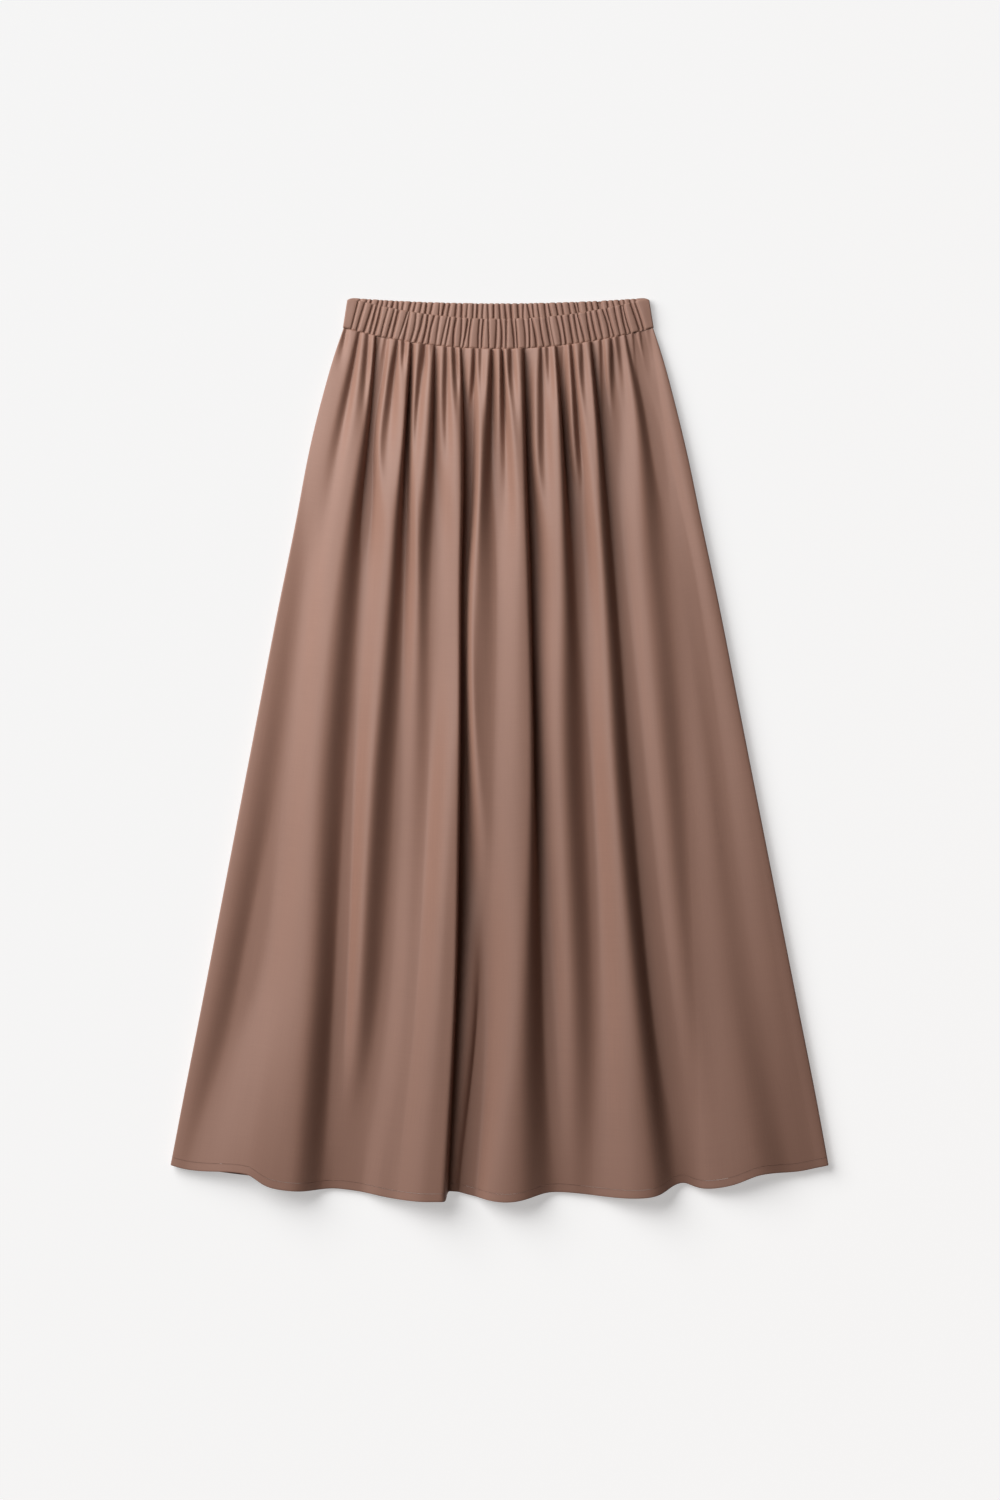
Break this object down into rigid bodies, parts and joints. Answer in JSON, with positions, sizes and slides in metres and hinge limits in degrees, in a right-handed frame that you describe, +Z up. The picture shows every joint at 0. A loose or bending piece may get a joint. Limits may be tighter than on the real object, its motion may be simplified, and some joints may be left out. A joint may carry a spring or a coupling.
{
  "type": "maxi skirt",
  "caption": "Full-length skirt laid flat, gathered into an elasticated waistband whose front dips below its back, with a narrow turned hem.",
  "frame": {"origin": "centre of the skirt's bounding box, on the table plane that it lies on", "axes": "+X across the skirt to the right as it is seen, +Y from the hem to the waist, +Z up out of the table"},
  "size_m": [0.689, 0.9481, 0.0239],
  "materials": {
    "skirt_cloth": "matt mocha brown crepe twill with a faint slub and a soft sheen",
    "waistband_cloth": "the same mocha brown crepe twill, gathered tight over elastic"
  },
  "bodies": {
    "root": {"front_panel": "skirt_cloth", "back_panel": "skirt_cloth", "front_hem": "skirt_cloth", "back_hem": "skirt_cloth", "front_waistband": "waistband_cloth", "back_waistband": "waistband_cloth"}
  },
  "joints": []
}
